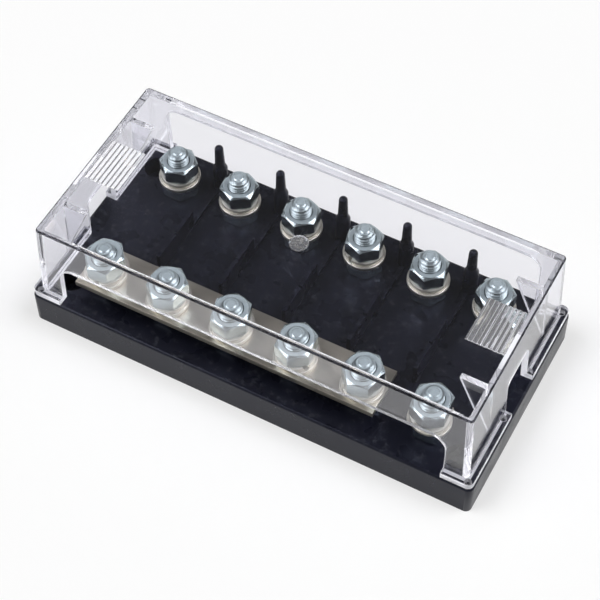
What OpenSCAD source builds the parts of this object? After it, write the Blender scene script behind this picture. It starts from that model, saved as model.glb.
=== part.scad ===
// Holder for bolt-down strip fuses: moulded base, two rows of studs, bus bar and clear lift-off cover.
// Millimetres. X runs along the row of fuse ways, Y to the back, Z up.
// The origin is in the mounting plane, under the middle of the base.

/* [Base] */
// Length of the base along X
base_l = 177; // [160:0.5:195]
// Width of the base along Y
base_w = 84.6; // [83:0.2:95]
// Height of the deck above the mounting surface
base_h = 14.2; // [13:0.1:18]
// Radius of the upright corners
base_corner_r = 2.25; // [2:0.25:5]
// Rounding of the deck's rim
base_edge_r = 1; // [0.4:0.1:1.6]
// Thickness of the skirt round the hollow underside
base_wall = 3; // [2:0.25:5]
// Thickness of the deck
deck_t = 4.2; // [3:0.2:6]
// Thickness of the ribs under the deck
rib_t = 1.8; // [1.2:0.1:3]
// Height of the ribs' lower edges above the mounting surface
rib_lift = 1.5; // [0:0.25:4]

/* [Mounting holes] */
// Distance from the base's end to a mounting hole's axis
mount_inset_x = 10; // [9:0.25:12]
// Distance from the base's side to a mounting hole's axis
mount_inset_y = 12.3; // [11:0.1:16]
// Diameter of the hole for an M5 screw
mount_hole_d = 5.5; // [4.5:0.1:6.5]
// Diameter of the counterbore for the screw's head
mount_bore_d = 9.6; // [8.5:0.1:11]
// Depth of the counterbore below the deck
mount_bore_depth = 8; // [3:0.25:10]
// Wall round the counterbore under the deck
mount_boss_wall = 2; // [1.5:0.25:3]

/* [Stud grid] */
// Distance from the base's end to the axis of the end way
way_inset = 23.5; // [22.5:0.25:28]
// Distance between the stud rows, the fuses' hole spacing
row_gap = 51; // [49:0.5:53]
// Diameter of the studs over the thread, M8
stud_d = 8; // [7:0.1:8.2]
// Height of the studs' ends above the deck
stud_rise = 20.9; // [19.5:0.1:26]
// Chamfer on the studs' ends
stud_chamfer = 1.4; // [0.4:0.1:1.6]
// Plastic clamped between a stud's head and its lower nut
seat_t = 6.8; // [5:0.1:7.5]
// Height of the studs' hexagon heads
head_h = 5.3; // [4:0.1:5.5]
// Wall round the hexagon pocket under each stud
stud_boss_wall = 2; // [1.5:0.25:3]
// Clearance round a stud in the base, on the radius
stud_gap = 0.25; // [0.1:0.05:0.5]
// Clearance round a stud's head in its pocket, on each flat
head_gap = 0.15; // [0.05:0.05:0.4]

/* [Nuts and washers] */
// Width across flats of nuts and stud heads
hex_af = 12.8; // [12:0.1:13]
// Height of each nut
nut_h = 6.5; // [5:0.1:7]
// Height of the bevel on the nuts' corners
nut_bevel = 0.9; // [0.3:0.05:1.2]
// Diameter of the flat face inside the bevel
nut_face_d = 11.8; // [11:0.1:12]
// Clearance between a nut and its stud, on the radius
nut_gap = 0.1; // [0.05:0.01:0.3]
// Outer diameter of the flat washers
flat_od = 15.75; // [15:0.25:18]
// Thickness of the flat washers
flat_t = 1.6; // [1:0.1:2]
// Outer diameter of the split lock washers
lock_od = 14.2; // [13.5:0.1:15]
// Thickness of the split lock washers
lock_t = 1.8; // [1.5:0.1:2.4]
// Free height of the lock washer that is not tightened down
lock_free_h = 3.3; // [2.8:0.1:4]
// Width of the split
lock_split = 1.3; // [0.8:0.1:2]
// Slant of the split
lock_slant = 25; // [0:5:35]
// Clearance between a washer and its stud, on the radius
washer_gap = 0.2; // [0.1:0.05:0.4]

/* [Bus bar] */
// Width of the bus bar
bar_w = 19; // [17:0.5:21]
// Thickness of the bus bar
bar_t = 2.2; // [1.5:0.1:3]
// Length of the bus bar past its end studs
bar_over = 8.1; // [7:0.1:9]
// Clearance between the bus bar and a stud, on the radius
bar_gap = 0.4; // [0.2:0.05:0.8]

/* [Partitions] */
// Length of the partition fins between the ways
fin_l = 24; // [18:0.5:28]
// Thickness of the fins
fin_t = 1.5; // [1:0.1:2.5]
// Height of the fins above the deck
fin_h = 8.8; // [6:0.2:14]
// Width of the nick in the middle of each fin's top
fin_nick_w = 1.2; // [0.6:0.1:3]
// Depth of the nick
fin_nick_depth = 1.2; // [0.5:0.1:3]
// Height of the low rib behind each fin
low_rib_h = 1.4; // [0.8:0.1:3]
// Distance from the base's rear side to the pegs' axes
peg_inset = 8.6; // [8.5:0.1:10]
// Height of the pegs above the deck
peg_h = 22.9; // [20:0.1:26]
// Diameter of the pegs' lower part
peg_foot_d = 5.6; // [4.5:0.1:6]
// Height of the pegs' lower part
peg_foot_h = 10.8; // [8:0.2:13]
// Height of the cone over the lower part
peg_cone_h = 2.2; // [1:0.1:4]
// Diameter of the pegs' upper part at the cone
peg_rod_d = 3.9; // [3.4:0.1:4.4]
// Diameter of the pegs' rounded tips
peg_tip_d = 3.3; // [2.6:0.1:3.4]

/* [Cover] */
// Distance from the base's side to the cover wall's foot
cover_inset = 2.65; // [2.2:0.05:3]
// Height of the cover above the deck, without the grips
cover_h = 35.5; // [32:0.25:45]
// Lean of the cover's walls from foot to top
cover_lean = 1.3; // [0.5:0.1:2]
// Thickness of the cover's walls
cover_wall = 2.4; // [1.8:0.1:2.8]
// Thickness of the cover's top
cover_top_t = 2.4; // [1.6:0.1:3]
// Radius of the cover's upright edges
cover_corner_r = 1.5; // [1.5:0.1:4]
// Rounding of the cover's top edge
cover_edge_r = 0.6; // [0.3:0.1:1.2]
// Distance from the base's side to the rim of the cover's flange
flange_inset = 0.4; // [0.3:0.05:1]
// Thickness of the flange
flange_t = 2.8; // [2:0.1:4]
// Distance from the base's end to the upright sides of the cable arches
arch_inset = 12.2; // [10:0.2:16]
// Height of the front cable arch above the deck
front_arch_h = 18.8; // [14:0.2:22]
// Height of the rear cable arch above the deck
rear_arch_h = 28.8; // [25.5:0.2:29]
// Radius of the arches' upper corners
arch_r = 6; // [3:0.5:9]
// Width of the window in each end of the cover
window_w = 17.6; // [10:0.2:20]
// Height of the end windows above the deck
window_h = 18.4; // [12:0.2:24]
// Radius of the end windows' upper corners
window_r = 2.5; // [1:0.25:5]

/* [Cover details] */
// Distance of the gussets from the middle of the width
gusset_y = 22.5; // [15:0.5:28]
// Thickness of the gussets
gusset_t = 2.2; // [1.2:0.1:3]
// Reach of the gussets under the top
gusset_l = 9.4; // [6:0.2:14]
// Height of the gussets under the top
gusset_h = 28; // [15:0.5:29]
// Length of each grip patch along X
grip_l = 14.4; // [10:0.2:18]
// Width of each grip patch along Y
grip_w = 19.2; // [12:0.2:26]
// Distance from the top's end to the grip patch
grip_inset = 2.2; // [1.2:0.1:6]
// Height of the grip ridges
grip_h = 0.6; // [0.3:0.05:1.2]
// Diameter of the shallow gate mark in the top
gate_d = 6.8; // [3:0.2:8]
// Depth of the gate mark
gate_depth = 0.4; // [0.2:0.05:0.8]
// Diameter of the locating pins under the flange
pin_d = 2.6; // [1.8:0.1:2.8]
// Length of the locating pins
pin_l = 4; // [2:0.25:6]
// Clearance round a locating pin in the base, on the radius
pin_gap = 0.2; // [0.1:0.05:0.3]
// Clearance under a locating pin
pin_end_gap = 0.8; // [0.3:0.1:1.5]
// Distance of the inner locating pins from the window's side
pin_from_window = 2.2; // [1.8:0.1:5]
// Wall round the locating holes under the deck
pin_boss_wall = 1.6; // [1:0.1:2.5]

/* [Hidden] */
// Fuse ways, and how many of them the bus bar joins
ways = 6;
bar_ways = 5;
// Ridges in a grip patch
grip_ridges = 8;
// Turn of each nut and each lock washer as it was left after tightening, in degrees
rear_turns = [18, 33, 38, 42, 40, 22];
front_turns = [8, 20, 47, 36, 12, 34];
rear_split_turns = [200, 40, 310, 250, 120, 15];
front_split_turns = [280, 75, 160, 330, 225, 250];
// Overlap that joins mouldings, and length that cuts run past a face
lap = 0.2;
cut = 1;
// Smoothness of round shapes
round_fn = 48;
edge_fn = 24;
hex = 6;

base_x = base_l / 2;
base_y = base_w / 2;
row_y = row_gap / 2;
way_pitch = (base_l - 2 * way_inset) / (ways - 1);
hex_ratio = 1 / cos(180 / hex);
hex_d = hex_af * hex_ratio;
pocket_d = (hex_af + 2 * head_gap) * hex_ratio;
mount_x = base_x - mount_inset_x;
mount_y = base_y - mount_inset_y;
deck_under = base_h - deck_t;
head_seat_z = base_h - seat_t;
stud_top_z = base_h + stud_rise;
stud_boss_d = pocket_d + 2 * stud_boss_wall;
lower_nut_top = base_h + nut_h;
flat_id = stud_d + 2 * washer_gap;
lock_mid_d = (lock_od + flat_id) / 2;
peg_y = base_y - peg_inset;
foot_x = base_x - cover_inset;
foot_y = base_y - cover_inset;
top_x = foot_x - cover_lean;
top_y = foot_y - cover_lean;
cover_top_z = base_h + cover_h;
ceiling_z = cover_top_z - cover_top_t;
arch_x = base_x - arch_inset;
grip_pitch = grip_l / grip_ridges;
pin_x = foot_x;
pin_window_y = window_w / 2 + pin_from_window;
pin_hole_d = pin_d + 2 * pin_gap;
pin_hole_depth = pin_l + pin_end_gap;

way_numbers = [for (i = [1 : ways]) i];
gap_numbers = [for (i = [1 : ways - 1]) i];
// X of way i, and of the partition after way i
function way_x(i) = (i - (ways + 1) / 2) * way_pitch;
function gap_x(i) = way_x(i) + way_pitch / 2;
// Height at which a stud's flat washer, lock washer and nut start
function on_bar(row, i) = row == "front" && i <= bar_ways;
function loose(row, i) = row == "front" && i == ways;
function flat_z(row, i) = lower_nut_top + (on_bar(row, i) ? bar_t : 0);
function lock_z(row, i) = flat_z(row, i) + flat_t;
function nut_z(row, i) = lock_z(row, i) + (loose(row, i) ? lock_free_h : lock_t);
function stud_y(row) = row == "front" ? -row_y : row_y;
function nut_turn(row, i) = row == "front" ? front_turns[i - 1] : rear_turns[i - 1];
function split_turn(row, i) = row == "front" ? front_split_turns[i - 1] : rear_split_turns[i - 1];
function names(stem) = [for (i = way_numbers) str(stem, i)];

$fn = round_fn;

module at_four(x, y) {
    for (sx = [-1, 1], sy = [-1, 1])
        translate([sx * x, sy * y, 0])
            children();
}

module at_stud(row, i, z = 0) {
    translate([way_x(i), stud_y(row), z])
        children();
}

module at_studs() {
    for (row = ["front", "rear"], i = way_numbers)
        at_stud(row, i)
            children();
}

// Upright post of a rounded block, with its upper rim rounded
module rim_post(r, h, edge) {
    cylinder(r = r, h = h - edge, $fn = edge_fn);
    translate([0, 0, h - edge])
        rotate_extrude($fn = edge_fn)
            intersection() {
                translate([r - edge, 0])
                    circle(r = edge, $fn = edge_fn);
                square([r, edge]);
            }
    cylinder(r = r - edge, h = h, $fn = edge_fn);
}

// Outline used by the cover's openings: square foot, rounded upper corners
module arch_outline(half_w, h, r) {
    hull() {
        translate([-half_w, -cut])
            square([2 * half_w, cut]);
        for (s = [-1, 1])
            translate([s * (half_w - r), h - r])
                circle(r = r, $fn = round_fn);
    }
}

module base_block() {
    hull()
        at_four(base_x - base_corner_r, base_y - base_corner_r)
            rim_post(base_corner_r, base_h, base_edge_r);
}

module underside_hollow() {
    translate([base_wall - base_x, base_wall - base_y, -cut])
        cube([base_l - 2 * base_wall, base_w - 2 * base_wall, deck_under + cut]);
}

module underside_ribs() {
    rib_h = deck_under + lap - rib_lift;
    columns = concat(
        [-mount_x, mount_x],
        [for (i = way_numbers) way_x(i)],
        [for (i = gap_numbers) gap_x(i)]);
    for (x = columns)
        translate([x - rib_t / 2, base_wall - base_y - lap, rib_lift])
            cube([rib_t, base_w - 2 * base_wall + 2 * lap, rib_h]);
    for (y = [-row_y, row_y])
        translate([base_wall - base_x - lap, y - rib_t / 2, rib_lift])
            cube([base_l - 2 * base_wall + 2 * lap, rib_t, rib_h]);
}

module bosses() {
    at_studs()
        cylinder(d = stud_boss_d, h = deck_under + lap);
    at_four(mount_x, mount_y)
        cylinder(d = mount_bore_d + 2 * mount_boss_wall, h = deck_under + lap);
}

// Walls of the locating holes, kept inside the skirt
module pin_bosses() {
    boss_h = pin_hole_depth + pin_boss_wall;
    intersection() {
        base_block();
        union() {
            for (y = [pin_window_y, foot_y])
                at_four(pin_x, y)
                    translate([0, 0, base_h - boss_h])
                        cylinder(d = pin_hole_d + 2 * pin_boss_wall, h = boss_h - lap);
        }
    }
}

module partitions() {
    for (i = gap_numbers)
        translate([gap_x(i), 0, base_h - lap]) {
            difference() {
                translate([-fin_t / 2, -fin_l / 2, 0])
                    cube([fin_t, fin_l, fin_h + lap]);
                translate([-fin_t / 2 - cut, -fin_nick_w / 2, fin_h + lap - fin_nick_depth])
                    cube([fin_t + 2 * cut, fin_nick_w, fin_nick_depth + cut]);
            }
            translate([-fin_t / 2, fin_l / 2 - lap, 0])
                cube([fin_t, peg_y - fin_l / 2 + lap, low_rib_h + lap]);
        }
}

module pegs() {
    rod_h = peg_h - peg_foot_h - peg_cone_h - peg_tip_d / 2;
    for (i = gap_numbers)
        translate([gap_x(i), peg_y, base_h - lap]) {
            cylinder(d = peg_foot_d, h = peg_foot_h + lap);
            translate([0, 0, peg_foot_h + lap])
                cylinder(d1 = peg_foot_d, d2 = peg_rod_d, h = peg_cone_h);
            translate([0, 0, peg_foot_h + peg_cone_h + lap])
                cylinder(d1 = peg_rod_d, d2 = peg_tip_d, h = rod_h);
            translate([0, 0, peg_h - peg_tip_d / 2 + lap])
                sphere(d = peg_tip_d);
        }
}

module stud_holes() {
    at_studs() {
        translate([0, 0, -cut])
            cylinder(d = stud_d + 2 * stud_gap, h = base_h + 2 * cut);
        translate([0, 0, -cut])
            cylinder(d = pocket_d, h = head_seat_z + cut, $fn = hex);
    }
}

module mount_holes() {
    at_four(mount_x, mount_y) {
        translate([0, 0, -cut])
            cylinder(d = mount_hole_d, h = base_h + 2 * cut);
        translate([0, 0, base_h - mount_bore_depth])
            cylinder(d = mount_bore_d, h = mount_bore_depth + cut);
    }
}

module pin_holes() {
    for (y = [pin_window_y, foot_y])
        at_four(pin_x, y)
            translate([0, 0, base_h - pin_hole_depth])
                cylinder(d = pin_hole_d, h = pin_hole_depth + cut);
}

module base() {
    color("#26272b")
        difference() {
            union() {
                difference() {
                    base_block();
                    underside_hollow();
                }
                underside_ribs();
                bosses();
                pin_bosses();
                partitions();
                pegs();
            }
            stud_holes();
            mount_holes();
            pin_holes();
        }
}

module cover_outside() {
    hull() {
        translate([0, 0, base_h])
            at_four(foot_x - cover_corner_r, foot_y - cover_corner_r)
                cylinder(r = cover_corner_r, h = lap, $fn = edge_fn);
        translate([0, 0, base_h])
            at_four(top_x - cover_corner_r, top_y - cover_corner_r)
                rim_post(cover_corner_r, cover_h, cover_edge_r);
    }
}

module cover_inside() {
    inner_r = cover_corner_r - cover_wall / 2;
    hull() {
        translate([0, 0, base_h - cut])
            at_four(foot_x - cover_wall - inner_r, foot_y - cover_wall - inner_r)
                cylinder(r = inner_r, h = cut, $fn = edge_fn);
        translate([0, 0, ceiling_z - lap])
            at_four(top_x - cover_wall - inner_r, top_y - cover_wall - inner_r)
                cylinder(r = inner_r, h = lap, $fn = edge_fn);
    }
}

module flange() {
    rim_x = base_x - flange_inset;
    rim_y = base_y - flange_inset;
    translate([0, 0, base_h])
        linear_extrude(flange_t)
            hull()
                at_four(rim_x - base_corner_r, rim_y - base_corner_r)
                    circle(r = base_corner_r, $fn = edge_fn);
}

module arch_cut(side, h) {
    depth = cover_inset + cover_lean + cover_wall + 2 * cut;
    from = side > 0 ? base_y - depth : -base_y - cut;
    translate([0, from + depth + cut, base_h])
        rotate([90, 0, 0])
            linear_extrude(depth + cut)
                arch_outline(arch_x, h, arch_r);
}

module window_cut() {
    translate([-base_x - cut, 0, base_h])
        rotate([90, 0, 90])
            linear_extrude(base_l + 2 * cut)
                arch_outline(window_w / 2, window_h, window_r);
}

module gussets() {
    foot_z = ceiling_z - gusset_h;
    root_z = ceiling_z + lap;
    lean_at_foot = cover_lean * (cover_top_z - foot_z) / cover_h;
    wall_mid = cover_wall / 2;
    tip_x = top_x - cover_wall - gusset_l;
    for (sx = [-1, 1], sy = [-1, 1])
        scale([sx, 1, 1])
            translate([0, sy * gusset_y + gusset_t / 2, 0])
                rotate([90, 0, 0])
                    linear_extrude(gusset_t)
                        polygon([
                            [top_x - wall_mid, root_z],
                            [tip_x, root_z],
                            [tip_x, ceiling_z],
                            [top_x + lean_at_foot - wall_mid, foot_z]]);
}

// Saw-tooth ridges across each end of the top
module grips() {
    first_x = top_x - grip_inset - grip_l;
    teeth = [for (i = [0 : grip_ridges - 1], k = [0, 1])
        [first_x + (i + k / 2) * grip_pitch, k * grip_h]];
    outline = concat([[first_x, -lap]], teeth, [[first_x + grip_l, 0], [first_x + grip_l, -lap]]);
    for (sx = [-1, 1])
        scale([sx, 1, 1])
            translate([0, grip_w / 2, cover_top_z])
                rotate([90, 0, 0])
                    linear_extrude(grip_w)
                        polygon(outline);
}

module locating_pins() {
    for (y = [pin_window_y, foot_y])
        at_four(pin_x, y)
            translate([0, 0, base_h - pin_l])
                cylinder(d = pin_d, h = pin_l + lap);
}

module cover() {
    color("#dfe1e8", 0.35)
        difference() {
            union() {
                difference() {
                    union() {
                        cover_outside();
                        flange();
                    }
                    cover_inside();
                }
                gussets();
                grips();
                locating_pins();
            }
            arch_cut(-1, front_arch_h);
            arch_cut(1, rear_arch_h);
            window_cut();
            translate([0, 0, cover_top_z - gate_depth])
                cylinder(d = gate_d, h = gate_depth + cut);
        }
}

module bus_bar() {
    bar_x = way_x(1) - bar_over;
    bar_l = way_x(bar_ways) - way_x(1) + 2 * bar_over;
    color("#8d877b")
        difference() {
            translate([bar_x, -row_y - bar_w / 2, lower_nut_top])
                cube([bar_l, bar_w, bar_t]);
            for (i = [1 : bar_ways])
                at_stud("front", i, lower_nut_top - cut)
                    cylinder(d = stud_d + 2 * bar_gap, h = bar_t + 2 * cut);
        }
}

module stud(row, i) {
    color("#c9ced6")
        at_stud(row, i) {
            translate([0, 0, head_seat_z - head_h])
                cylinder(d = hex_d, h = head_h, $fn = hex);
            translate([0, 0, head_seat_z - lap])
                cylinder(d = stud_d, h = stud_top_z - stud_chamfer - head_seat_z + lap);
            translate([0, 0, stud_top_z - stud_chamfer])
                cylinder(d1 = stud_d, d2 = stud_d - 2 * stud_chamfer, h = stud_chamfer);
        }
}

// Hexagon nut with its corners bevelled at both ends
module hex_nut() {
    color("#d3d8df")
        difference() {
            intersection() {
                cylinder(d = hex_d, h = nut_h, $fn = hex);
                rotate_extrude()
                    polygon([
                        [0, 0],
                        [nut_face_d / 2, 0],
                        [hex_d / 2 + lap, nut_bevel],
                        [hex_d / 2 + lap, nut_h - nut_bevel],
                        [nut_face_d / 2, nut_h],
                        [0, nut_h]]);
            }
            translate([0, 0, -cut])
                cylinder(d = stud_d + 2 * nut_gap, h = nut_h + 2 * cut);
        }
}

module nut(row, i) {
    at_stud(row, i, nut_z(row, i))
        rotate([0, 0, nut_turn(row, i)])
            hex_nut();
}

module lower_nuts(row) {
    for (i = way_numbers)
        at_stud(row, i, base_h)
            hex_nut();
}

module flat_washer(row, i) {
    color("#b9b3a6")
        at_stud(row, i, flat_z(row, i))
            difference() {
                cylinder(d = flat_od, h = flat_t);
                translate([0, 0, -cut])
                    cylinder(d = flat_id, h = flat_t + 2 * cut);
            }
}

module lock_ring() {
    difference() {
        cylinder(d = lock_od, h = lock_t);
        translate([0, 0, -cut])
            cylinder(d = flat_id, h = lock_t + 2 * cut);
    }
}

module split_slot(h) {
    translate([0, 0, lock_t / 2])
        rotate([lock_slant, 0, 0])
            translate([flat_id / 2 - cut, -lock_split / 2, -h])
                cube([lock_od / 2, lock_split, 2 * h]);
}

module split_ring() {
    difference() {
        lock_ring();
        split_slot(lock_t);
    }
}

// Half of an open lock washer, on the side of the split given by s
module open_half(s) {
    intersection() {
        split_ring();
        translate([-lock_od, s > 0 ? 0 : -lock_od, -cut])
            cube([2 * lock_od, lock_od, lock_t + 2 * cut]);
    }
}

// Lock washer under a nut that is not tightened: its two ends stand at different heights
module open_lock_washer() {
    tilt = asin((lock_free_h - lock_t) / (lock_od + lock_mid_d));
    translate([0, 0, lock_od / 2 * sin(tilt)]) {
        rotate([0, tilt, 0])
            open_half(1);
        translate([0, 0, lock_mid_d * sin(tilt)])
            rotate([0, -tilt, 0])
                open_half(-1);
    }
}

module lock_washer(row, i) {
    color("#c4cad3")
        at_stud(row, i, lock_z(row, i))
            rotate([0, 0, split_turn(row, i)])
                if (loose(row, i))
                    open_lock_washer();
                else
                    split_ring();
}

base();
cover();
bus_bar();
lower_nuts("rear");  // rear_lower_nuts
lower_nuts("front");  // front_lower_nuts
for (row = ["rear", "front"], i = way_numbers) {
    stud(row, i);
    flat_washer(row, i);
    lock_washer(row, i);
    nut(row, i);
}
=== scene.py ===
"""Looks of a holder for six bolt-down strip fuses: glossy base, plated studs, bus bar and clear cover."""

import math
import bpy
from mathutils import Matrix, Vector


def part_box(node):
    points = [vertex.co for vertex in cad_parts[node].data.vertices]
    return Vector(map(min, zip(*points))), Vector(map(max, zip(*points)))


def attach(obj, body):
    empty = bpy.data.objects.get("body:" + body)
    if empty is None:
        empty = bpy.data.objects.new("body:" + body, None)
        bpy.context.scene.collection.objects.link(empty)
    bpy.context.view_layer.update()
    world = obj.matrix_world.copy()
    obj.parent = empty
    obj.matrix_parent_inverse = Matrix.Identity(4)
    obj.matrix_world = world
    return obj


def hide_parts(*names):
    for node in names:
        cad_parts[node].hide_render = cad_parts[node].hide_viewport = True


bl_info = {
    "name": "Fuse Holder",
    "version": (1, 0, 0),
    "blender": (4, 5, 0),
    "location": "3D View > Sidebar > Fuse Holder",
    "description": "Dresses the fuse holder's solids with threads, rounded edges and real finishes",
    "category": "Object",
}

import bmesh
import bpy
from bpy.props import FloatProperty, FloatVectorProperty, PointerProperty
from mathutils import Matrix, Vector

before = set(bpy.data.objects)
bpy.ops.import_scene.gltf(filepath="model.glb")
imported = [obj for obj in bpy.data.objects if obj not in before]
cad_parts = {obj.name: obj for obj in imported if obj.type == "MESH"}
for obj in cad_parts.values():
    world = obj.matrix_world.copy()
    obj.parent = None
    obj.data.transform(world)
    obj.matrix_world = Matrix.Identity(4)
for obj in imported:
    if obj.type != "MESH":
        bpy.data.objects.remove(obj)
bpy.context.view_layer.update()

MM = 0.001
TURN = 2 * math.pi
WAYS = range(1, 7)
ROWS = ("rear", "front")
STUDS = [(row, way) for row in ROWS for way in WAYS]
# Distances within which a cut takes a corner, corners are one, and a face lies on another
TOUCH = 0.0001 * MM
WELD = 0.002 * MM
CLOSE = 0.01 * MM
# The stud whose nut is only finger tight, over a lock washer that still stands open
LOOSE = ("front", 6)
# Degrees at which each nut and each lock washer's split was left
NUT_TURNS = {"rear": (18, 33, 38, 42, 40, 22), "front": (8, 20, 47, 36, 12, 34)}
SPLIT_TURNS = {"rear": (200, 40, 310, 250, 120, 15), "front": (280, 75, 160, 330, 225, 250)}
# The cover's material slots
CLEAR, SATIN, GATE, WIPED, ROUNDING, GRIP = range(6)


def linear(code):
    """Linear RGB of an sRGB hex colour such as "#26272b"."""
    parts = [int(code[i : i + 2], 16) / 255 for i in (1, 3, 5)]
    return tuple(c / 12.92 if c <= 0.04045 else ((c + 0.055) / 1.055) ** 2.4 for c in parts)


def length(name, description, millimetres):
    """A size that a user may change, kept in metres."""
    return FloatProperty(
        name=name, description=description, default=millimetres * MM, min=0, precision=5, unit="LENGTH"
    )


def colour(name, description, default):
    """A colour that a user may change."""
    return FloatVectorProperty(
        name=name, description=description, default=linear(default), min=0, max=1, size=3, subtype="COLOR"
    )


class FuseHolderSizes(bpy.types.PropertyGroup):
    """Sizes of the details that the solids leave plain"""

    stud_across: length("Stud diameter", "Outer diameter of the studs' thread", 8)
    thread_pitch: length("Thread pitch", "Rise of the studs' M8 thread in one turn", 1.25)
    thread_depth: length("Thread depth", "Depth of the thread from crest to root", 0.77)
    thread_hidden: length("Hidden thread", "Length of thread that runs on inside the top nut", 1)
    thread_end: length("Thread end", "Length over which the thread runs out into the shank", 0.3)
    head_height: length("Stud head", "Height of the studs' heads under the base", 5.3)
    stud_chamfer: length("Stud chamfer", "Chamfer on the studs' ends", 1.15)
    nut_across: length("Nut across flats", "Width across flats of nuts and stud heads", 12.8)
    nut_bore: length("Nut bore", "Diameter of a nut's bore", 8.1)
    nut_face: length("Nut face", "Diameter of the flat face inside a nut's bevel", 11.8)
    nut_bevel: length("Nut bevel", "Height of the bevel on a nut's corners", 0.9)
    nut_sink: length("Nut countersink", "Depth of the countersink in a nut's bore", 0.2)
    nut_edge: length("Nut edges", "Rounding of a nut's edges under the plating", 0.12)
    washer_bore: length("Washer bore", "Diameter of the hole in both kinds of washer", 8.4)
    washer_edge: length("Washer edges", "Rounding of the stamped washers' edges", 0.28)
    lock_across: length("Lock washer diameter", "Outer diameter of the lock washers", 14.2)
    lock_thick: length("Lock washer wire", "Thickness of the lock washers' wire", 1.8)
    lock_split: length("Lock washer split", "Width of the lock washers' split", 1.3)
    bar_edge: length("Bus bar edges", "Rounding of the bus bar's edges", 0.35)
    base_edge: length("Base edges", "Rounding of the base's moulded edges", 0.25)
    cover_edge: length("Cover edges", "Rounding of the cover's moulded edges", 0.3)
    top_round: length("Top rounding", "Height of the rounding round the cover's top", 0.8)
    grip_ridge: length("Grip ridges", "Height of the grips' ridges over the cover's top", 0.6)
    flange: length("Flange", "Reach of the cover's flange past its walls", 2.25)
    sole_reach: length("Sole reach", "Reach of the walls' satin soles into the flange", 0.4)
    sole_air: length("Sole air", "Film of air between the cover's soles and the deck", 0.03)


class FuseHolderColours(bpy.types.PropertyGroup):
    """Colours of the finishes"""

    base: colour("Base", "Black nylon of the base", "#0e0f17")
    dust: colour("Dust", "Dust that has settled on the base", "#45474c")
    cover: colour("Cover", "Tint of the clear polycarbonate", "#f8f8fc")
    # Painted shade: the tint of the cover's clear rounding, made dark so that it draws an outline
    rounding: colour("Cover rounding", "Depth of the cover's edges, seen along the walls", "#1e1e24")
    zinc: colour("Zinc", "White zinc on studs and nuts", "#bcc8cb")
    spring: colour("Lock washers", "Warm zinc on the lock washers", "#d9d6cd")
    bar: colour("Bus bar", "Nickel on the bus bar", "#c3bdb0")
    washer: colour("Washers", "Nickel on the flat washers", "#dbd7cd")
    floor: colour("Floor", "White paper under the holder", "#f6f6f6")


def add(tree, kind, inputs=None, **settings):
    """Adds a node, with settings for its properties and a value or a link for each named input."""
    made = tree.nodes.new(kind)
    for name, value in settings.items():
        setattr(made, name, value)
    for name, value in (inputs or {}).items():
        if isinstance(value, bpy.types.NodeSocket):
            tree.links.new(value, made.inputs[name])
        else:
            made.inputs[name].default_value = value
    return made


def finish(paint):
    """A material made once and named for its finish: paint fills its tree and returns its shader."""
    made = bpy.data.materials.get(paint.__name__)
    if made is None:
        made = bpy.data.materials.new(paint.__name__)
        made.use_nodes = True
        tree = made.node_tree
        tree.nodes.clear()
        place = add(tree, "ShaderNodeTexCoord").outputs["Object"]
        surface = paint(tree, place, bpy.context.scene.fuse_holder_colours)
        add(tree, "ShaderNodeOutputMaterial", {"Surface": surface})
    return made


def moulded_black_nylon(tree, place, look):
    # Filled nylon from a polished tool: deep black with clear soft bluish reflections, a little
    # duller where the flow cooled unevenly, under a fine grain left by the tool, with a trace of
    # dust on what faces up.
    flow = add(tree, "ShaderNodeTexNoise", {"Vector": place, "Scale": 1 / (9 * MM), "Detail": 3})
    grain = add(tree, "ShaderNodeTexNoise", {"Vector": place, "Scale": 1 / (0.35 * MM), "Detail": 2})
    gloss = {"Value": flow.outputs["Fac"], "From Min": 0.3, "From Max": 0.7, "To Min": 0.24, "To Max": 0.36}
    tone = {0: flow.outputs["Fac"], 6: (*look.base, 1), 7: (*[c * 1.6 for c in look.base], 1)}
    relief = {"Height": grain.outputs["Fac"], "Strength": 0.08, "Distance": 0.02 * MM}
    outward = add(tree, "ShaderNodeNewGeometry").outputs["True Normal"]
    facing = add(tree, "ShaderNodeSeparateXYZ", {"Vector": outward})
    specks = add(tree, "ShaderNodeTexNoise", {"Vector": place, "Scale": 1 / (2.2 * MM), "Detail": 6})
    settled = {"Value": specks.outputs["Fac"], "From Min": 0.56, "From Max": 0.8, "To Min": 0, "To Max": 0.5}
    lying = {0: add(tree, "ShaderNodeMapRange", settled).outputs["Result"], 1: facing.outputs["Z"]}
    dust = {
        0: add(tree, "ShaderNodeMath", lying, operation="MULTIPLY", use_clamp=True).outputs[0],
        6: add(tree, "ShaderNodeMix", tone, data_type="RGBA").outputs[2],
        7: (*look.dust, 1),
    }
    skin = {
        "Base Color": add(tree, "ShaderNodeMix", dust, data_type="RGBA").outputs[2],
        "Roughness": add(tree, "ShaderNodeMapRange", gloss).outputs["Result"],
        "Normal": add(tree, "ShaderNodeBump", relief).outputs["Normal"],
        "Specular IOR Level": 0.22,
        "Specular Tint": (0.76, 0.79, 1, 1),
    }
    return add(tree, "ShaderNodeBsdfPrincipled", skin).outputs["BSDF"]


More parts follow.
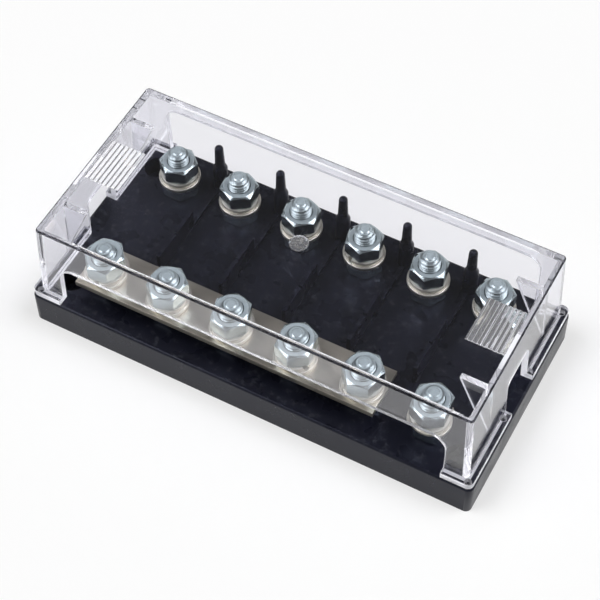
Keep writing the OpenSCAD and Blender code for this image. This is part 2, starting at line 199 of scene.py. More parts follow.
def clear_polycarbonate(tree, place, tint, patches, dull, passes, wave_mm=24, rise_mm=0.005, ior=1.585):
    """Clear plastic that lamps shine through to what it covers, with patches of gloss and slow waves."""
    patch = add(tree, "ShaderNodeTexNoise", {"Vector": place, **patches})
    gloss = add(tree, "ShaderNodeMapRange", {"Value": patch.outputs["Fac"], **dull})
    wave = add(tree, "ShaderNodeTexNoise", {"Vector": place, "Scale": 1 / (wave_mm * MM), "Detail": 1})
    relief = {"Height": wave.outputs["Fac"], "Strength": 1, "Distance": rise_mm * MM}
    glass = {
        "Base Color": (*tint, 1),
        "Roughness": gloss.outputs["Result"],
        "Normal": add(tree, "ShaderNodeBump", relief).outputs["Normal"],
        "IOR": ior,
        "Specular IOR Level": 0.3,
        "Transmission Weight": passes,
    }
    through = {
        "Fac": add(tree, "ShaderNodeLightPath").outputs["Is Shadow Ray"],
        1: add(tree, "ShaderNodeBsdfPrincipled", glass).outputs["BSDF"],
        2: add(tree, "ShaderNodeBsdfTransparent", {"Color": (0.93, 0.93, 0.95, 1)}).outputs["BSDF"],
    }
    return add(tree, "ShaderNodeMixShader", through).outputs["Shader"]


def polished_clear_polycarbonate(tree, place, look):
    # Polycarbonate from a polished tool: clear with a faint cool tint, handling smears that
    # dull the gloss in patches, and slow waves left by the flow.
    smears = {"Scale": 1 / (14 * MM), "Detail": 4}
    dull = {"From Min": 0.45, "From Max": 0.75, "To Min": 0, "To Max": 0.05}
    return clear_polycarbonate(tree, place, look.cover, smears, dull, 1)


def satin_polycarbonate_edge(tree, place, look):
    # Edges where the tool's halves met: satin, so that the light which runs inside the walls
    # leaves there, and every edge shows as a pale line.
    scuffs = {"Scale": 1 / (6 * MM), "Detail": 2}
    dull = {"From Min": 0.3, "From Max": 0.7, "To Min": 0.35, "To Max": 0.45}
    return clear_polycarbonate(tree, place, look.cover, scuffs, dull, 0.66)


def wiped_polycarbonate(tree, place, look):
    # Small edges and the front arches, which the tool's slides wiped: see-through but blurred,
    # with a faint bloom.
    wipes = {"Scale": 1 / (3 * MM), "Detail": 3}
    dull = {"From Min": 0.3, "From Max": 0.7, "To Min": 0.08, "To Max": 0.18}
    return clear_polycarbonate(tree, place, look.cover, wipes, dull, 0.88)


def ribbed_polycarbonate_grip(tree, place, look):
    # The flanks of the grips' ridges, as cut in the tool: clear with a whitish bloom.
    cuts = {"Scale": 1 / (1.2 * MM), "Detail": 2}
    dull = {"From Min": 0.3, "From Max": 0.7, "To Min": 0.02, "To Max": 0.06}
    return clear_polycarbonate(tree, place, look.cover, cuts, dull, 0.8)


def painted_shade_polycarbonate_rounding(tree, place, look):
    # The rounding round the top, with its tint as painted shade: a thin dark outline that stands in for
    # the shade seen along the full depth of the walls. Its low IOR keeps a white surround from washing that
    # out.
    flow = {"Scale": 1 / (6 * MM), "Detail": 2}
    dull = {"From Min": 0.3, "From Max": 0.7, "To Min": 0.05, "To Max": 0.15}
    return clear_polycarbonate(tree, place, look.rounding, flow, dull, 1, ior=1.06)


def sheared_polycarbonate_gate(tree, place, look):
    # The torn disc where the plastic entered the tool: uneven, blurred and a little whitish.
    tears = {"Scale": 1 / (0.8 * MM), "Detail": 4}
    dull = {"From Min": 0.3, "From Max": 0.7, "To Min": 0.1, "To Max": 0.3}
    return clear_polycarbonate(tree, place, look.cover, tears, dull, 0.88, wave_mm=2.2, rise_mm=0.9)


def plated_steel(tree, place, shade, gloss=0.16, groove=None):
    """Plated steel whose sides are that rough, whose end faces are satin and whose grooves are darkened with
    dirt and painted shade.
    """
    cloud = add(tree, "ShaderNodeTexNoise", {"Vector": place, "Scale": 1 / (3.5 * MM), "Detail": 3})
    grain = add(tree, "ShaderNodeTexNoise", {"Vector": place, "Scale": 1 / (0.3 * MM), "Detail": 2})
    outward = add(tree, "ShaderNodeNewGeometry").outputs["True Normal"]
    facing = add(tree, "ShaderNodeSeparateXYZ", {"Vector": outward})
    upright = add(tree, "ShaderNodeMath", {0: facing.outputs["Z"]}, operation="ABSOLUTE")
    faced = {"Value": upright.outputs[0], "From Min": 0.9, "From Max": 0.98, "To Min": gloss, "To Max": 0.52}
    uneven = {
        0: add(tree, "ShaderNodeMapRange", faced).outputs["Result"],
        1: add(tree, "ShaderNodeMath", {0: cloud.outputs["Fac"], 1: 0.16}, operation="MULTIPLY").outputs[0],
    }
    tone = {0: cloud.outputs["Fac"], 6: (*shade, 1), 7: (*[c * 0.72 for c in shade], 1)}
    shades = add(tree, "ShaderNodeMix", tone, data_type="RGBA").outputs[2]
    # Dirt and painted shade: the deeper a point lies in a groove, the darker the zinc, down to a fifth of
    # its tone
    if groove:
        dull = {0: groove, 6: shades, 7: (*[c * 0.2 for c in shade], 1)}
        shades = add(tree, "ShaderNodeMix", dull, data_type="RGBA").outputs[2]
    relief = {"Height": grain.outputs["Fac"], "Strength": 0.12, "Distance": 0.02 * MM}
    skin = {
        "Base Color": shades,
        "Roughness": add(tree, "ShaderNodeMath", uneven, operation="ADD").outputs[0],
        "Normal": add(tree, "ShaderNodeBump", relief).outputs["Normal"],
        "Metallic": 1,
    }
    return add(tree, "ShaderNodeBsdfPrincipled", skin).outputs["BSDF"]


def zinc_plated_steel(tree, place, look):
    # Bright zinc over drawn and faced steel: greenish white, cloudy from the passivation.
    return plated_steel(tree, place, look.zinc)


def zinc_plated_rolled_thread(tree, place, look):
    # The same zinc on a rolled thread: bright satin crests, and roots darkened with dirt and with painted
    # shade.
    groove = add(tree, "ShaderNodeAttribute", attribute_name="groove").outputs["Fac"]
    return plated_steel(tree, place, look.zinc, 0.3, groove)


def zinc_plated_spring_steel(tree, place, look):
    # The same zinc on coiled spring wire, satin and warmer from the yellow passivation.
    return plated_steel(tree, place, look.spring, 0.34)


def nickel_plated_rolled_bar(tree, place, look):
    # Nickel over rolled copper: warm grey, with the rolling lines drawn out along the bar, the
    # teeth of the saw upright on its darker long edges, and duller patches where it was handled.
    drawn = add(tree, "ShaderNodeMapping", {"Vector": place, "Scale": (0.02, 1, 1)}).outputs["Vector"]
    lines = add(tree, "ShaderNodeTexNoise", {"Vector": drawn, "Scale": 1 / (0.3 * MM), "Detail": 3})
    sawn = add(tree, "ShaderNodeMapping", {"Vector": place, "Scale": (1, 0.02, 0.15)}).outputs["Vector"]
    teeth = add(tree, "ShaderNodeTexNoise", {"Vector": sawn, "Scale": 1 / (0.7 * MM), "Detail": 1})
    outward = add(tree, "ShaderNodeNewGeometry").outputs["True Normal"]
    facing = add(tree, "ShaderNodeSeparateXYZ", {"Vector": outward})
    edge = add(tree, "ShaderNodeMath", {0: facing.outputs["Y"]}, operation="ABSOLUTE")
    marks = {0: edge.outputs[0], 2: lines.outputs["Fac"], 3: teeth.outputs["Fac"]}
    height = add(tree, "ShaderNodeMix", marks).outputs[0]
    patch = add(tree, "ShaderNodeTexNoise", {"Vector": place, "Scale": 1 / (8 * MM), "Detail": 4})
    gloss = {"Value": patch.outputs["Fac"], "From Min": 0.3, "From Max": 0.7, "To Min": 0.28, "To Max": 0.42}
    tone = {0: height, 6: (*look.bar, 1), 7: (*[c * 0.75 for c in look.bar], 1)}
    deeper = {"Value": edge.outputs[0], "To Min": 0.2, "To Max": 1}
    relief = {
        "Height": height,
        "Strength": add(tree, "ShaderNodeMapRange", deeper).outputs["Result"],
        "Distance": 0.06 * MM,
    }
    sides = {
        0: edge.outputs[0],
        6: add(tree, "ShaderNodeMix", tone, data_type="RGBA").outputs[2],
        7: (*[c * 0.45 for c in look.bar], 1),
    }
    skin = {
        "Base Color": add(tree, "ShaderNodeMix", sides, data_type="RGBA").outputs[2],
        "Roughness": add(tree, "ShaderNodeMapRange", gloss).outputs["Result"],
        "Normal": add(tree, "ShaderNodeBump", relief).outputs["Normal"],
        "Metallic": 1,
    }
    return add(tree, "ShaderNodeBsdfPrincipled", skin).outputs["BSDF"]


def nickel_plated_stamping(tree, place, look):
    # Nickel over stamped steel: paler and warmer than the zinc, tumbled to an even satin gloss.
    cloud = add(tree, "ShaderNodeTexNoise", {"Vector": place, "Scale": 1 / (2.5 * MM), "Detail": 3})
    grain = add(tree, "ShaderNodeTexNoise", {"Vector": place, "Scale": 1 / (0.25 * MM), "Detail": 2})
    gloss = {"Value": cloud.outputs["Fac"], "From Min": 0.3, "From Max": 0.7, "To Min": 0.32, "To Max": 0.46}
    tone = {0: cloud.outputs["Fac"], 6: (*look.washer, 1), 7: (*[c * 0.8 for c in look.washer], 1)}
    relief = {"Height": grain.outputs["Fac"], "Strength": 0.1, "Distance": 0.02 * MM}
    skin = {
        "Base Color": add(tree, "ShaderNodeMix", tone, data_type="RGBA").outputs[2],
        "Roughness": add(tree, "ShaderNodeMapRange", gloss).outputs["Result"],
        "Normal": add(tree, "ShaderNodeBump", relief).outputs["Normal"],
        "Metallic": 1,
    }
    return add(tree, "ShaderNodeBsdfPrincipled", skin).outputs["BSDF"]


def white_paper(tree, place, look):
    # Matt background paper with a faint tooth: white to the eye, in metal and through the cover,
    # with a soft shadow.
    tooth = add(tree, "ShaderNodeTexNoise", {"Vector": place, "Scale": 1 / (1.5 * MM), "Detail": 2})
    relief = {"Height": tooth.outputs["Fac"], "Strength": 0.05, "Distance": 0.05 * MM}
    skin = {
        "Base Color": (*look.floor, 1),
        "Roughness": 0.9,
        "Specular IOR Level": 0.1,
        "Normal": add(tree, "ShaderNodeBump", relief).outputs["Normal"],
    }
    path = add(tree, "ShaderNodeLightPath").outputs
    straight = {0: path["Is Camera Ray"], 1: path["Is Glossy Ray"]}
    seen = {
        0: add(tree, "ShaderNodeMath", straight, operation="MAXIMUM").outputs[0],
        1: path["Is Transmission Ray"],
    }
    share = {0: add(tree, "ShaderNodeMath", seen, operation="MAXIMUM").outputs[0], 1: 0.5}
    lit = {
        "Fac": add(tree, "ShaderNodeMath", share, operation="MULTIPLY").outputs[0],
        1: add(tree, "ShaderNodeBsdfPrincipled", skin).outputs["BSDF"],
        2: add(tree, "ShaderNodeEmission", {"Color": (1, 1, 1, 1), "Strength": 1}).outputs["Emission"],
    }
    return add(tree, "ShaderNodeMixShader", lit).outputs["Shader"]


def piece(shape, name, finishes, nodes, body="base"):
    """Makes a shape a piece that stands for its CAD nodes and moves with their body."""
    mesh = bpy.data.meshes.new(name)
    shape.to_mesh(mesh)
    shape.free()
    for made_of in finishes:
        mesh.materials.append(made_of)
    made = bpy.data.objects.new(name, mesh)
    bpy.context.scene.collection.objects.link(made)
    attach(made, body)
    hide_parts(*nodes)
    return made


def stand(shape, row, way):
    """Moves a shape that was made about Z onto a stud's axis, and returns it."""
    low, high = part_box(f"{row}_stud_{way}")
    axis = ((low[0] + high[0]) / 2, (low[1] + high[1]) / 2, 0)
    bmesh.ops.translate(shape, verts=shape.verts, vec=axis)
    return shape


def heights(node):
    """Lowest and highest Z of a node."""
    low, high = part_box(node)
    return low[2], high[2]


def crease(shape, degrees):
    """Smooth shading for what was turned, broken at sharper edges: flats and end faces stay flat."""
    for face in shape.faces:
        face.smooth = len(face.verts) < 5 and abs(face.normal.z) < 0.9999
    for edge in shape.edges:
        edge.smooth = edge.calc_face_angle(0) < math.radians(degrees)


def round_edges(shape, size, degrees, segments=2):
    """Rounds the outer edges that are sharper than that, and returns the new faces."""
    sharp = [e for e in shape.edges if e.is_convex and e.calc_face_angle(0) > math.radians(degrees)]
    return bmesh.ops.bevel(
        shape,
        geom=sharp,
        offset=size,
        offset_type="OFFSET",
        affect="EDGES",
        segments=segments,
        profile=0.5,
        clamp_overlap=True,
        material=-1,
    )["faces"]


def turn_outline(shape, outline, steps=96):
    """Turns a closed outline of (radius, height) points about Z into a ring."""
    corners = [shape.verts.new((radius, 0, z)) for radius, z in outline]
    sides = [shape.edges.new(pair) for pair in zip(corners, corners[1:] + corners[:1])]
    bmesh.ops.spin(
        shape, geom=corners + sides, axis=(0, 0, 1), cent=(0, 0, 0), angle=TURN, steps=steps, use_merge=True
    )
    bmesh.ops.remove_doubles(shape, verts=shape.verts, dist=WELD)
    bmesh.ops.recalc_face_normals(shape, faces=shape.faces)


def cut_across(shape, point, out, clear=False):
    """Cuts a shape at a plane, clears what lies beyond it if asked, and returns the cut's edges."""
    cut = bmesh.ops.bisect_plane(
        shape,
        geom=shape.verts[:] + shape.edges[:] + shape.faces[:],
        dist=TOUCH,
        plane_co=point,
        plane_no=out,
        clear_outer=clear,
    )
    return [g for g in cut["geom_cut"] if isinstance(g, bmesh.types.BMEdge)]


def hexagon_corner(across):
    """Radius a hair past the corners of a hexagon, so that its flats cut all the way round."""
    return across / 2 / math.cos(TURN / 12) + 0.05 * MM


def cut_flats(shape, across, degrees):
    """Cuts six flats about Z, that far apart, and closes them."""
    for k in range(6):
        angle = math.radians(60 * k + 30 + degrees)
        out = Vector((math.cos(angle), math.sin(angle), 0))
        rim = cut_across(shape, out * across / 2, out, clear=True)
        bmesh.ops.edgeloop_fill(shape, edges=rim)
    bmesh.ops.recalc_face_normals(shape, faces=shape.faces)


def nut_shape(sizes, low, high, degrees):
    """Hexagon nut with bevelled corners and a countersunk bore, standing on Z from low to high."""
    shape = bmesh.new()
    bore = sizes.nut_bore / 2
    corner = hexagon_corner(sizes.nut_across)
    face = sizes.nut_face / 2
    sink = sizes.nut_sink
    outline = [
        (bore, low + sink),
        (bore, high - sink),
        (bore + sink, high),
        (face, high),
        (corner, high - sizes.nut_bevel),
        (corner, low + sizes.nut_bevel),
        (face, low),
        (bore + sink, low),
    ]
    turn_outline(shape, outline)
    cut_flats(shape, sizes.nut_across, degrees)
    round_edges(shape, sizes.nut_edge, degrees=40)
    crease(shape, degrees=25)
    return shape


def stud_shape(sizes, low, thread_low, high):
    """Stud with a hexagon head at low, a plain shank, and a thread from thread_low to high."""
    shape = bmesh.new()
    seat = low + sizes.head_height
    # How deep each point lies in the thread, which the zinc turns into dirt and painted shade
    groove_depth = shape.verts.layers.float.new("groove")
    radius = sizes.stud_across / 2
    root = radius - sizes.thread_depth
    pitch = sizes.thread_pitch
    steps = 48
    start = thread_low - 2 * pitch
    turns = math.ceil((high - start) / pitch) + 2
    # One turn, with heights as shares of the pitch: crest, flank, root and flank
    groove = [(radius, 0), (radius, 1 / 8), (root, 7 / 16), (root, 11 / 16), (radius, 1)]
    corners = [shape.verts.new((r, 0, start + part * pitch)) for r, part in groove]
    sides = [shape.edges.new(pair) for pair in zip(corners, corners[1:])]
    bmesh.ops.spin(
        shape,
        geom=corners + sides,
        axis=(0, 0, 1),
        cent=(0, 0, 0),
        dvec=(0, 0, pitch / steps),
        angle=TURN * turns,
        steps=steps * turns,
    )
    bmesh.ops.remove_doubles(shape, verts=shape.verts, dist=WELD)
    bmesh.ops.recalc_face_normals(shape, faces=shape.faces)
    point = high - sizes.stud_chamfer
    for k in range(3):
        cut_across(shape, (0, 0, point + sizes.stud_chamfer * k / 3), (0, 0, 1))
    end_rim = cut_across(shape, (0, 0, high), (0, 0, 1), clear=True)
    rim = cut_across(shape, (0, 0, thread_low), (0, 0, -1), clear=True)
    # Shares of a groove's dirt and painted shade that the chamfer has taken off, and of its depth that it
    # leaves
    dirt_and_shade_taken = 0.7
    left = 0.4
    for vert in shape.verts:
        flat = vert.co.xy
        below = radius - flat.length
        beyond = max(0, vert.co.z - point)
        vert[groove_depth] = below / sizes.thread_depth * (1 - dirt_and_shade_taken * beyond / sizes.stud_chamfer)
        most = radius - beyond - below * left
        if flat.length > most:
            vert.co.xy = flat.normalized() * most
    # Width and depth of each ring in the end, from its rim to a shallow dish: the grooves end in
    # the first, and the third slopes
    end = bmesh.ops.edgeloop_fill(shape, edges=end_rim)["faces"]
    for inset, sink in ((0.25 * MM, 0), (0.35 * MM, 0), (0.45 * MM, -0.3 * MM)):
        bmesh.ops.inset_individual(shape, faces=end, thickness=inset, depth=sink)
        for vert in end[0].verts:
            vert[groove_depth] = 0
    corner = hexagon_corner(sizes.nut_across)
    for r, z in (
        (radius, thread_low - sizes.thread_end),
        (radius, seat),
        (corner, seat),
        (corner, low + sizes.nut_bevel),
        (sizes.nut_face / 2, low),
    ):
        grown = bmesh.ops.extrude_edge_only(shape, edges=rim)["geom"]
        ring = {g for g in grown if isinstance(g, bmesh.types.BMVert)}
        for vert in ring:
            vert.co.xy = vert.co.xy.normalized() * r
            vert.co.z = z
            vert[groove_depth] = 0
        rim = [g for g in grown if isinstance(g, bmesh.types.BMEdge) and ring.issuperset(g.verts)]
    bmesh.ops.edgeloop_fill(shape, edges=rim)
    cut_flats(shape, sizes.nut_across, degrees=0)
    crease(shape, degrees=32)
    return shape


def flat_washer_shape(sizes, low, high, outer):
    """Stamped washer with rounded edges."""
    shape = bmesh.new()
    bore = sizes.washer_bore / 2
    turn_outline(shape, [(bore, low), (outer, low), (outer, high), (bore, high)])
    round_edges(shape, sizes.washer_edge, degrees=60, segments=3)
    crease(shape, degrees=35)
    return shape


def lock_washer_shape(sizes, low, rise, degrees):
    """Split ring of square wire, its ends apart by rise, with a slanted split."""
    shape = bmesh.new()
    bore = sizes.washer_bore / 2
    outer = sizes.lock_across / 2
    thick = sizes.lock_thick
    gap = sizes.lock_split / ((bore + outer) / 2)
    steps = 72
    outline = [(bore, low), (outer, low), (outer, low + thick), (bore, low + thick)]
    section = [shape.verts.new((radius, 0, z)) for radius, z in outline]
    sides = [shape.edges.new(pair) for pair in zip(section, section[1:] + section[:1])]
    bmesh.ops.rotate(shape, verts=section, cent=(0, 0, 0), matrix=Matrix.Rotation(gap / 2, 3, "Z"))
    far = bmesh.ops.spin(
        shape,
        geom=section + sides,
        axis=(0, 0, 1),
        cent=(0, 0, 0),
        dvec=(0, 0, rise / steps),
        angle=TURN - gap,
        steps=steps,
    )["geom_last"]
    ends = section + [g for g in far if isinstance(g, bmesh.types.BMVert)]
    slant = math.radians(25)
    lean = math.tan(slant) * thick / 2 / outer
    upper = [v for v in ends if v in section[2:] or v.co.z > low + rise + thick / 2 and v not in section]
    lower = [v for v in ends if v not in upper]
    for verts, angle in ((upper, -lean), (lower, lean)):
        bmesh.ops.rotate(shape, verts=verts, cent=(0, 0, 0), matrix=Matrix.Rotation(angle, 3, "Z"))
    bmesh.ops.holes_fill(shape, edges=[e for e in shape.edges if e.is_boundary])
    bmesh.ops.recalc_face_normals(shape, faces=shape.faces)
    round_edges(shape, sizes.washer_edge / 2, degrees=50)
    turned = Matrix.Rotation(math.radians(degrees), 3, "Z")
    bmesh.ops.rotate(shape, verts=shape.verts, cent=(0, 0, 0), matrix=turned)
    crease(shape, degrees=35)
    return shape


def moulded_shape(node, size, segments):
    """Merged copy of a node's solid with its outer edges rounded and tagged."""
    shape = bmesh.new()
    shape.from_mesh(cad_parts[node].data)
    bmesh.ops.remove_doubles(shape, verts=shape.verts, dist=WELD)
    bmesh.ops.dissolve_limit(shape, angle_limit=math.radians(0.3), verts=shape.verts, edges=shape.edges)
    # Narrow faces that meet at a slight bend are parts of one curve
    narrow = 1.6 * MM
    sharp = 35
    for face in shape.faces:
        width = face.calc_area() / max(e.calc_length() for e in face.edges)
        bends = [math.degrees(e.calc_face_angle(0)) for e in face.edges]
        face.smooth = width < narrow and any(1 < bend < sharp for bend in bends)
        face.tag = False
    for face in round_edges(shape, size, degrees=40, segments=segments):
        face.smooth = face.tag = True
    for edge in shape.edges:
        edge.smooth = edge.calc_face_angle(0) < math.radians(sharp)
    return shape


def on_deck(face, deck):
    """Whether a face of the cover is one of its undersides that rest on the deck."""
    return face.normal.z < -0.9 and abs(face.calc_center_median().z - deck) < 0.1 * MM


def cut_soles(shape, deck, sole, air):
    """Cuts the cover's underside where its walls end, and lifts it off the deck by a film of air."""
    for out, reach in (((1, 0, 0), sole.x), ((-1, 0, 0), sole.x), ((0, 1, 0), sole.y), ((0, -1, 0), sole.y)):
        under = [face for face in shape.faces if on_deck(face, deck)]
        parts = {part for face in under for part in (*face.verts, *face.edges)} | set(under)
        bmesh.ops.bisect_plane(
            shape, geom=list(parts), dist=TOUCH, plane_co=Vector(out) * reach, plane_no=out
        )
    for vert in shape.verts:
        if abs(vert.co.z - deck) < CLOSE:
            vert.co.z += air


def cover_slot(face, sizes, deck, top, wall, sole):
    """Material slot of a cover face, from where it lies and which way it faces."""
    x, y, z = face.calc_center_median()
    roof = top.z - sizes.grip_ridge
    rounded = face.material_index == WIPED
    # Limits of the zones: depth in from the flange that holds a wall, length of a corner that has
    # no arch, half of an end window, heights of the flange and the arches, and the gate's disc
    wall_depth = 5 * MM
    corner = 6 * MM
    half_window = 15 * MM
    flange_top = deck + 3 * MM
    arch_foot = deck + 1 * MM
    arch_head = top.z - 4 * MM
    gate_off = 1 * MM
    gate_low = top.z - 2 * MM
    gate_area = 50 * MM * MM
    in_arch = face.normal.z < -0.25 and arch_foot < z < arch_head
    on_rounding = 0.05 < face.normal.z < 0.995 and z > roof - sizes.top_round
    on_sole = on_deck(face, deck) and abs(x) < sole.x and abs(y) < sole.y
    on_rim = abs(face.normal.z) < 0.2 and z < flange_top
    beside_arch = abs(face.normal.x) > 0.9 and abs(y) > wall.y - wall_depth and abs(x) < wall.x - corner
    beside_window = abs(face.normal.y) > 0.9 and abs(x) > wall.x - wall_depth and abs(y) < half_window
    at_gate = math.hypot(x, y) < gate_off and z > gate_low and face.calc_area() < gate_area
    if z > roof + CLOSE:
        return SATIN if rounded else GRIP
    if rounded:
        return WIPED
    if in_arch:
        return WIPED if y < -wall.y / 2 else SATIN
    if on_rounding:
        return ROUNDING
    if on_sole or on_rim or beside_arch or beside_window:
        return SATIN
    return GATE if at_gate else CLEAR


class FUSEHOLDER_OT_base(bpy.types.Operator):
    """Black moulded base with its fins and pegs"""

    bl_idname = "fuse_holder.base"
    bl_label = "Base"

    def execute(self, context):
        shape = moulded_shape("base", context.scene.fuse_holder_sizes.base_edge, segments=2)
        piece(shape, "base_moulding", [finish(moulded_black_nylon)], ["base"])
        return {"FINISHED"}


class FUSEHOLDER_OT_cover(bpy.types.Operator):
    """Clear cover that lifts off"""

    bl_idname = "fuse_holder.cover"
    bl_label = "Cover"

    def execute(self, context):
        sizes = context.scene.fuse_holder_sizes
        shape = moulded_shape("cover", sizes.cover_edge, segments=3)
        # The cuts clear the tags, so the slots keep the rounded edges until each face gets its own
        for face in shape.faces:
            face.material_index = WIPED if face.tag else CLEAR
        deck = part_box("front_lower_nuts")[0][2]
        top = Vector(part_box("cover")[1])
        wall = top.xy - Vector((sizes.flange, sizes.flange))
        sole = wall + Vector((sizes.sole_reach, sizes.sole_reach))
        cut_soles(shape, deck, sole, sizes.sole_air)
        for face in shape.faces:
            face.material_index = cover_slot(face, sizes, deck, top, wall, sole)
        clear = [
            finish(polished_clear_polycarbonate),
            finish(satin_polycarbonate_edge),
            finish(sheared_polycarbonate_gate),
            finish(wiped_polycarbonate),
            finish(painted_shade_polycarbonate_rounding),
            finish(ribbed_polycarbonate_grip),
        ]
        piece(shape, "clear_cover", clear, ["cover"], "cover")
        return {"FINISHED"}


class FUSEHOLDER_OT_bus_bar(bpy.types.Operator):
    """Plated bar over five of the front studs"""

    bl_idname = "fuse_holder.bus_bar"
    bl_label = "Bus Bar"

    def execute(self, context):
        shape = moulded_shape("bus_bar", context.scene.fuse_holder_sizes.bar_edge, segments=3)
        bar = [finish(nickel_plated_rolled_bar)]
        piece(shape, "rolled_bus_bar", bar, ["bus_bar"])
        return {"FINISHED"}


class FUSEHOLDER_OT_studs(bpy.types.Operator):
    """Threaded studs with hexagon heads under the base"""

    bl_idname = "fuse_holder.studs"
    bl_label = "Studs"

    def execute(self, context):
        sizes = context.scene.fuse_holder_sizes
        zinc = [finish(zinc_plated_rolled_thread)]
        for row, way in STUDS:
            node = f"{row}_stud_{way}"
            low, high = heights(node)
            thread_low = heights(f"{row}_nut_{way}")[1] - sizes.thread_hidden
            shape = stand(stud_shape(sizes, low, thread_low, high), row, way)
            piece(shape, f"{row}_threaded_stud_{way}", zinc, [node])
        return {"FINISHED"}


class FUSEHOLDER_OT_nuts(bpy.types.Operator):
    """Top nuts, each left at its own turn"""

    bl_idname = "fuse_holder.nuts"
    bl_label = "Nuts"

    def execute(self, context):
        sizes = context.scene.fuse_holder_sizes
        zinc = [finish(zinc_plated_steel)]
        for row, way in STUDS:
            node = f"{row}_nut_{way}"
            shape = stand(nut_shape(sizes, *heights(node), NUT_TURNS[row][way - 1]), row, way)
            piece(shape, f"{row}_hex_nut_{way}", zinc, [node])
        return {"FINISHED"}


class FUSEHOLDER_OT_lower_nuts(bpy.types.Operator):
    """Nuts that clamp the studs to the deck, one group for each row"""

    bl_idname = "fuse_holder.lower_nuts"
    bl_label = "Lower Nuts"

    def execute(self, context):
        sizes = context.scene.fuse_holder_sizes
        zinc = [finish(zinc_plated_steel)]
        for row in ROWS:
            node = f"{row}_lower_nuts"
            group = bmesh.new()
            for way in WAYS:
                shape = stand(nut_shape(sizes, *heights(node), degrees=0), row, way)
                mesh = bpy.data.meshes.new("nut")
                shape.to_mesh(mesh)
                shape.free()
                group.from_mesh(mesh)
                bpy.data.meshes.remove(mesh)
            piece(group, f"{row}_clamp_nuts", zinc, [node])
        return {"FINISHED"}


class FUSEHOLDER_OT_flat_washers(bpy.types.Operator):
    """Flat washers under the lock washers"""

    bl_idname = "fuse_holder.flat_washers"
    bl_label = "Flat Washers"

    def execute(self, context):
        sizes = context.scene.fuse_holder_sizes
        nickel = [finish(nickel_plated_stamping)]
        for row, way in STUDS:
            node = f"{row}_flat_washer_{way}"
            low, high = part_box(node)
            outer = (high[0] - low[0]) / 2
            shape = stand(flat_washer_shape(sizes, low[2], high[2], outer), row, way)
            piece(shape, f"{row}_stamped_washer_{way}", nickel, [node])
        return {"FINISHED"}


class FUSEHOLDER_OT_lock_washers(bpy.types.Operator):
    """Split lock washers, flat under tight nuts and open under the loose one"""

    bl_idname = "fuse_holder.lock_washers"
    bl_label = "Lock Washers"

    def execute(self, context):
        sizes = context.scene.fuse_holder_sizes
        spring = [finish(zinc_plated_spring_steel)]
        for row, way in STUDS:
            node = f"{row}_lock_washer_{way}"
            low, high = heights(node)
            rise = high - low - sizes.lock_thick if (row, way) == LOOSE else 0
            shape = stand(lock_washer_shape(sizes, low, rise, SPLIT_TURNS[row][way - 1]), row, way)
            piece(shape, f"{row}_split_washer_{way}", spring, [node])
        return {"FINISHED"}


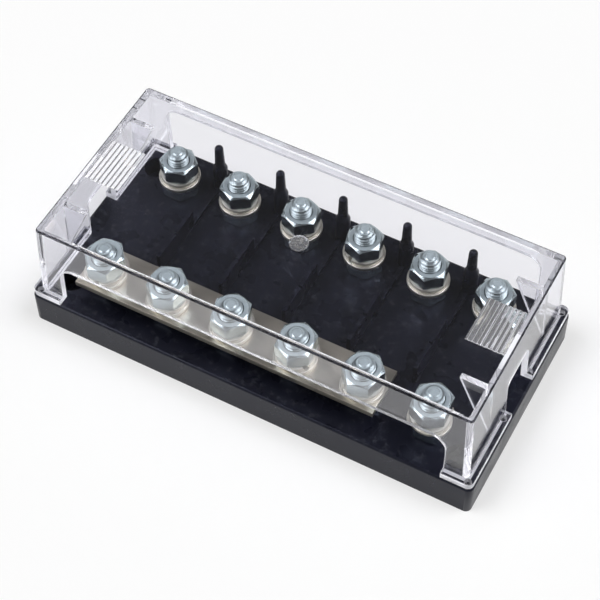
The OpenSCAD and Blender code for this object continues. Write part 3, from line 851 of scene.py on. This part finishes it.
class FUSEHOLDER_OT_stage(bpy.types.Operator):
    """White floor, soft studio light and the camera"""

    bl_idname = "fuse_holder.stage"
    bl_label = "Stage"

    def execute(self, context):
        scene = context.scene
        scene.view_settings.view_transform = "Standard"
        # Light runs far inside the cover's walls before it leaves them
        scene.cycles.max_bounces = 20
        scene.cycles.transmission_bounces = 20
        scene.cycles.glossy_bounces = 20
        shape = bmesh.new()
        bmesh.ops.create_grid(shape, x_segments=1, y_segments=1, size=4)
        mesh = bpy.data.meshes.new("floor")
        shape.to_mesh(mesh)
        shape.free()
        mesh.materials.append(finish(white_paper))
        floor = bpy.data.objects.new("floor", mesh)
        scene.collection.objects.link(floor)

        world = bpy.data.worlds.new("studio")
        world.use_nodes = True
        tree = world.node_tree
        tree.nodes.clear()
        towards = add(tree, "ShaderNodeTexCoord").outputs["Generated"]
        height = add(tree, "ShaderNodeSeparateXYZ", {"Vector": towards}).outputs["Z"]
        fade = {"Value": height, "From Min": 0.1, "From Max": 0.4, "To Min": 1.0, "To Max": 0.1}
        level = add(tree, "ShaderNodeMapRange", fade, interpolation_type="SMOOTHSTEP").outputs["Result"]
        light = add(tree, "ShaderNodeBackground", {"Color": (1, 1, 1, 1), "Strength": level})
        add(tree, "ShaderNodeOutputWorld", {"Surface": light.outputs["Background"]})
        scene.world = world

        for name, comes_from in (
            ("left_softbox", (-0.54, -0.34, 0.76)),
            ("right_softbox", (0.58, 0.26, 0.76)),
        ):
            lamp = bpy.data.lights.new(name, "SUN")
            lamp.energy = 1.8
            lamp.angle = math.radians(40)
            softbox = bpy.data.objects.new(name, lamp)
            softbox.rotation_euler = Vector(comes_from).to_track_quat("Z", "Y").to_euler()
            scene.collection.objects.link(softbox)

        view = bpy.data.cameras.new("camera")
        view.lens = 105.861
        view.sensor_width = 36
        camera = bpy.data.objects.new("camera", view)
        camera.location = (0.18194, -0.32719, 0.5344)
        camera.rotation_euler = [math.radians(a) for a in (35.831, 0.532, 28.327)]
        scene.collection.objects.link(camera)
        scene.camera = camera
        return {"FINISHED"}


PIECES = (
    FUSEHOLDER_OT_base,
    FUSEHOLDER_OT_bus_bar,
    FUSEHOLDER_OT_studs,
    FUSEHOLDER_OT_lower_nuts,
    FUSEHOLDER_OT_flat_washers,
    FUSEHOLDER_OT_lock_washers,
    FUSEHOLDER_OT_nuts,
    FUSEHOLDER_OT_cover,
    FUSEHOLDER_OT_stage,
)


class FUSEHOLDER_PT_panel(bpy.types.Panel):
    """Lists the fuse holder's pieces, sizes and colours"""

    bl_idname = "FUSEHOLDER_PT_panel"
    bl_label = "Fuse Holder"
    bl_space_type = "VIEW_3D"
    bl_region_type = "UI"
    bl_category = "Fuse Holder"

    def draw(self, context):
        for kind in PIECES:
            self.layout.operator(kind.bl_idname)
        for group in (context.scene.fuse_holder_sizes, context.scene.fuse_holder_colours):
            box = self.layout.box()
            for name in group.__annotations__:
                box.prop(group, name)


CLASSES = (FuseHolderSizes, FuseHolderColours, *PIECES, FUSEHOLDER_PT_panel)


def register():
    for kind in CLASSES:
        bpy.utils.register_class(kind)
    bpy.types.Scene.fuse_holder_sizes = PointerProperty(type=FuseHolderSizes)
    bpy.types.Scene.fuse_holder_colours = PointerProperty(type=FuseHolderColours)


def unregister():
    del bpy.types.Scene.fuse_holder_colours
    del bpy.types.Scene.fuse_holder_sizes
    for kind in reversed(CLASSES):
        bpy.utils.unregister_class(kind)


def main():
    register()
    bpy.ops.fuse_holder.base()
    bpy.ops.fuse_holder.bus_bar()
    bpy.ops.fuse_holder.studs()
    bpy.ops.fuse_holder.lower_nuts()
    bpy.ops.fuse_holder.flat_washers()
    bpy.ops.fuse_holder.lock_washers()
    bpy.ops.fuse_holder.nuts()
    bpy.ops.fuse_holder.cover()
    bpy.ops.fuse_holder.stage()


if __name__ == "__main__":
    main()
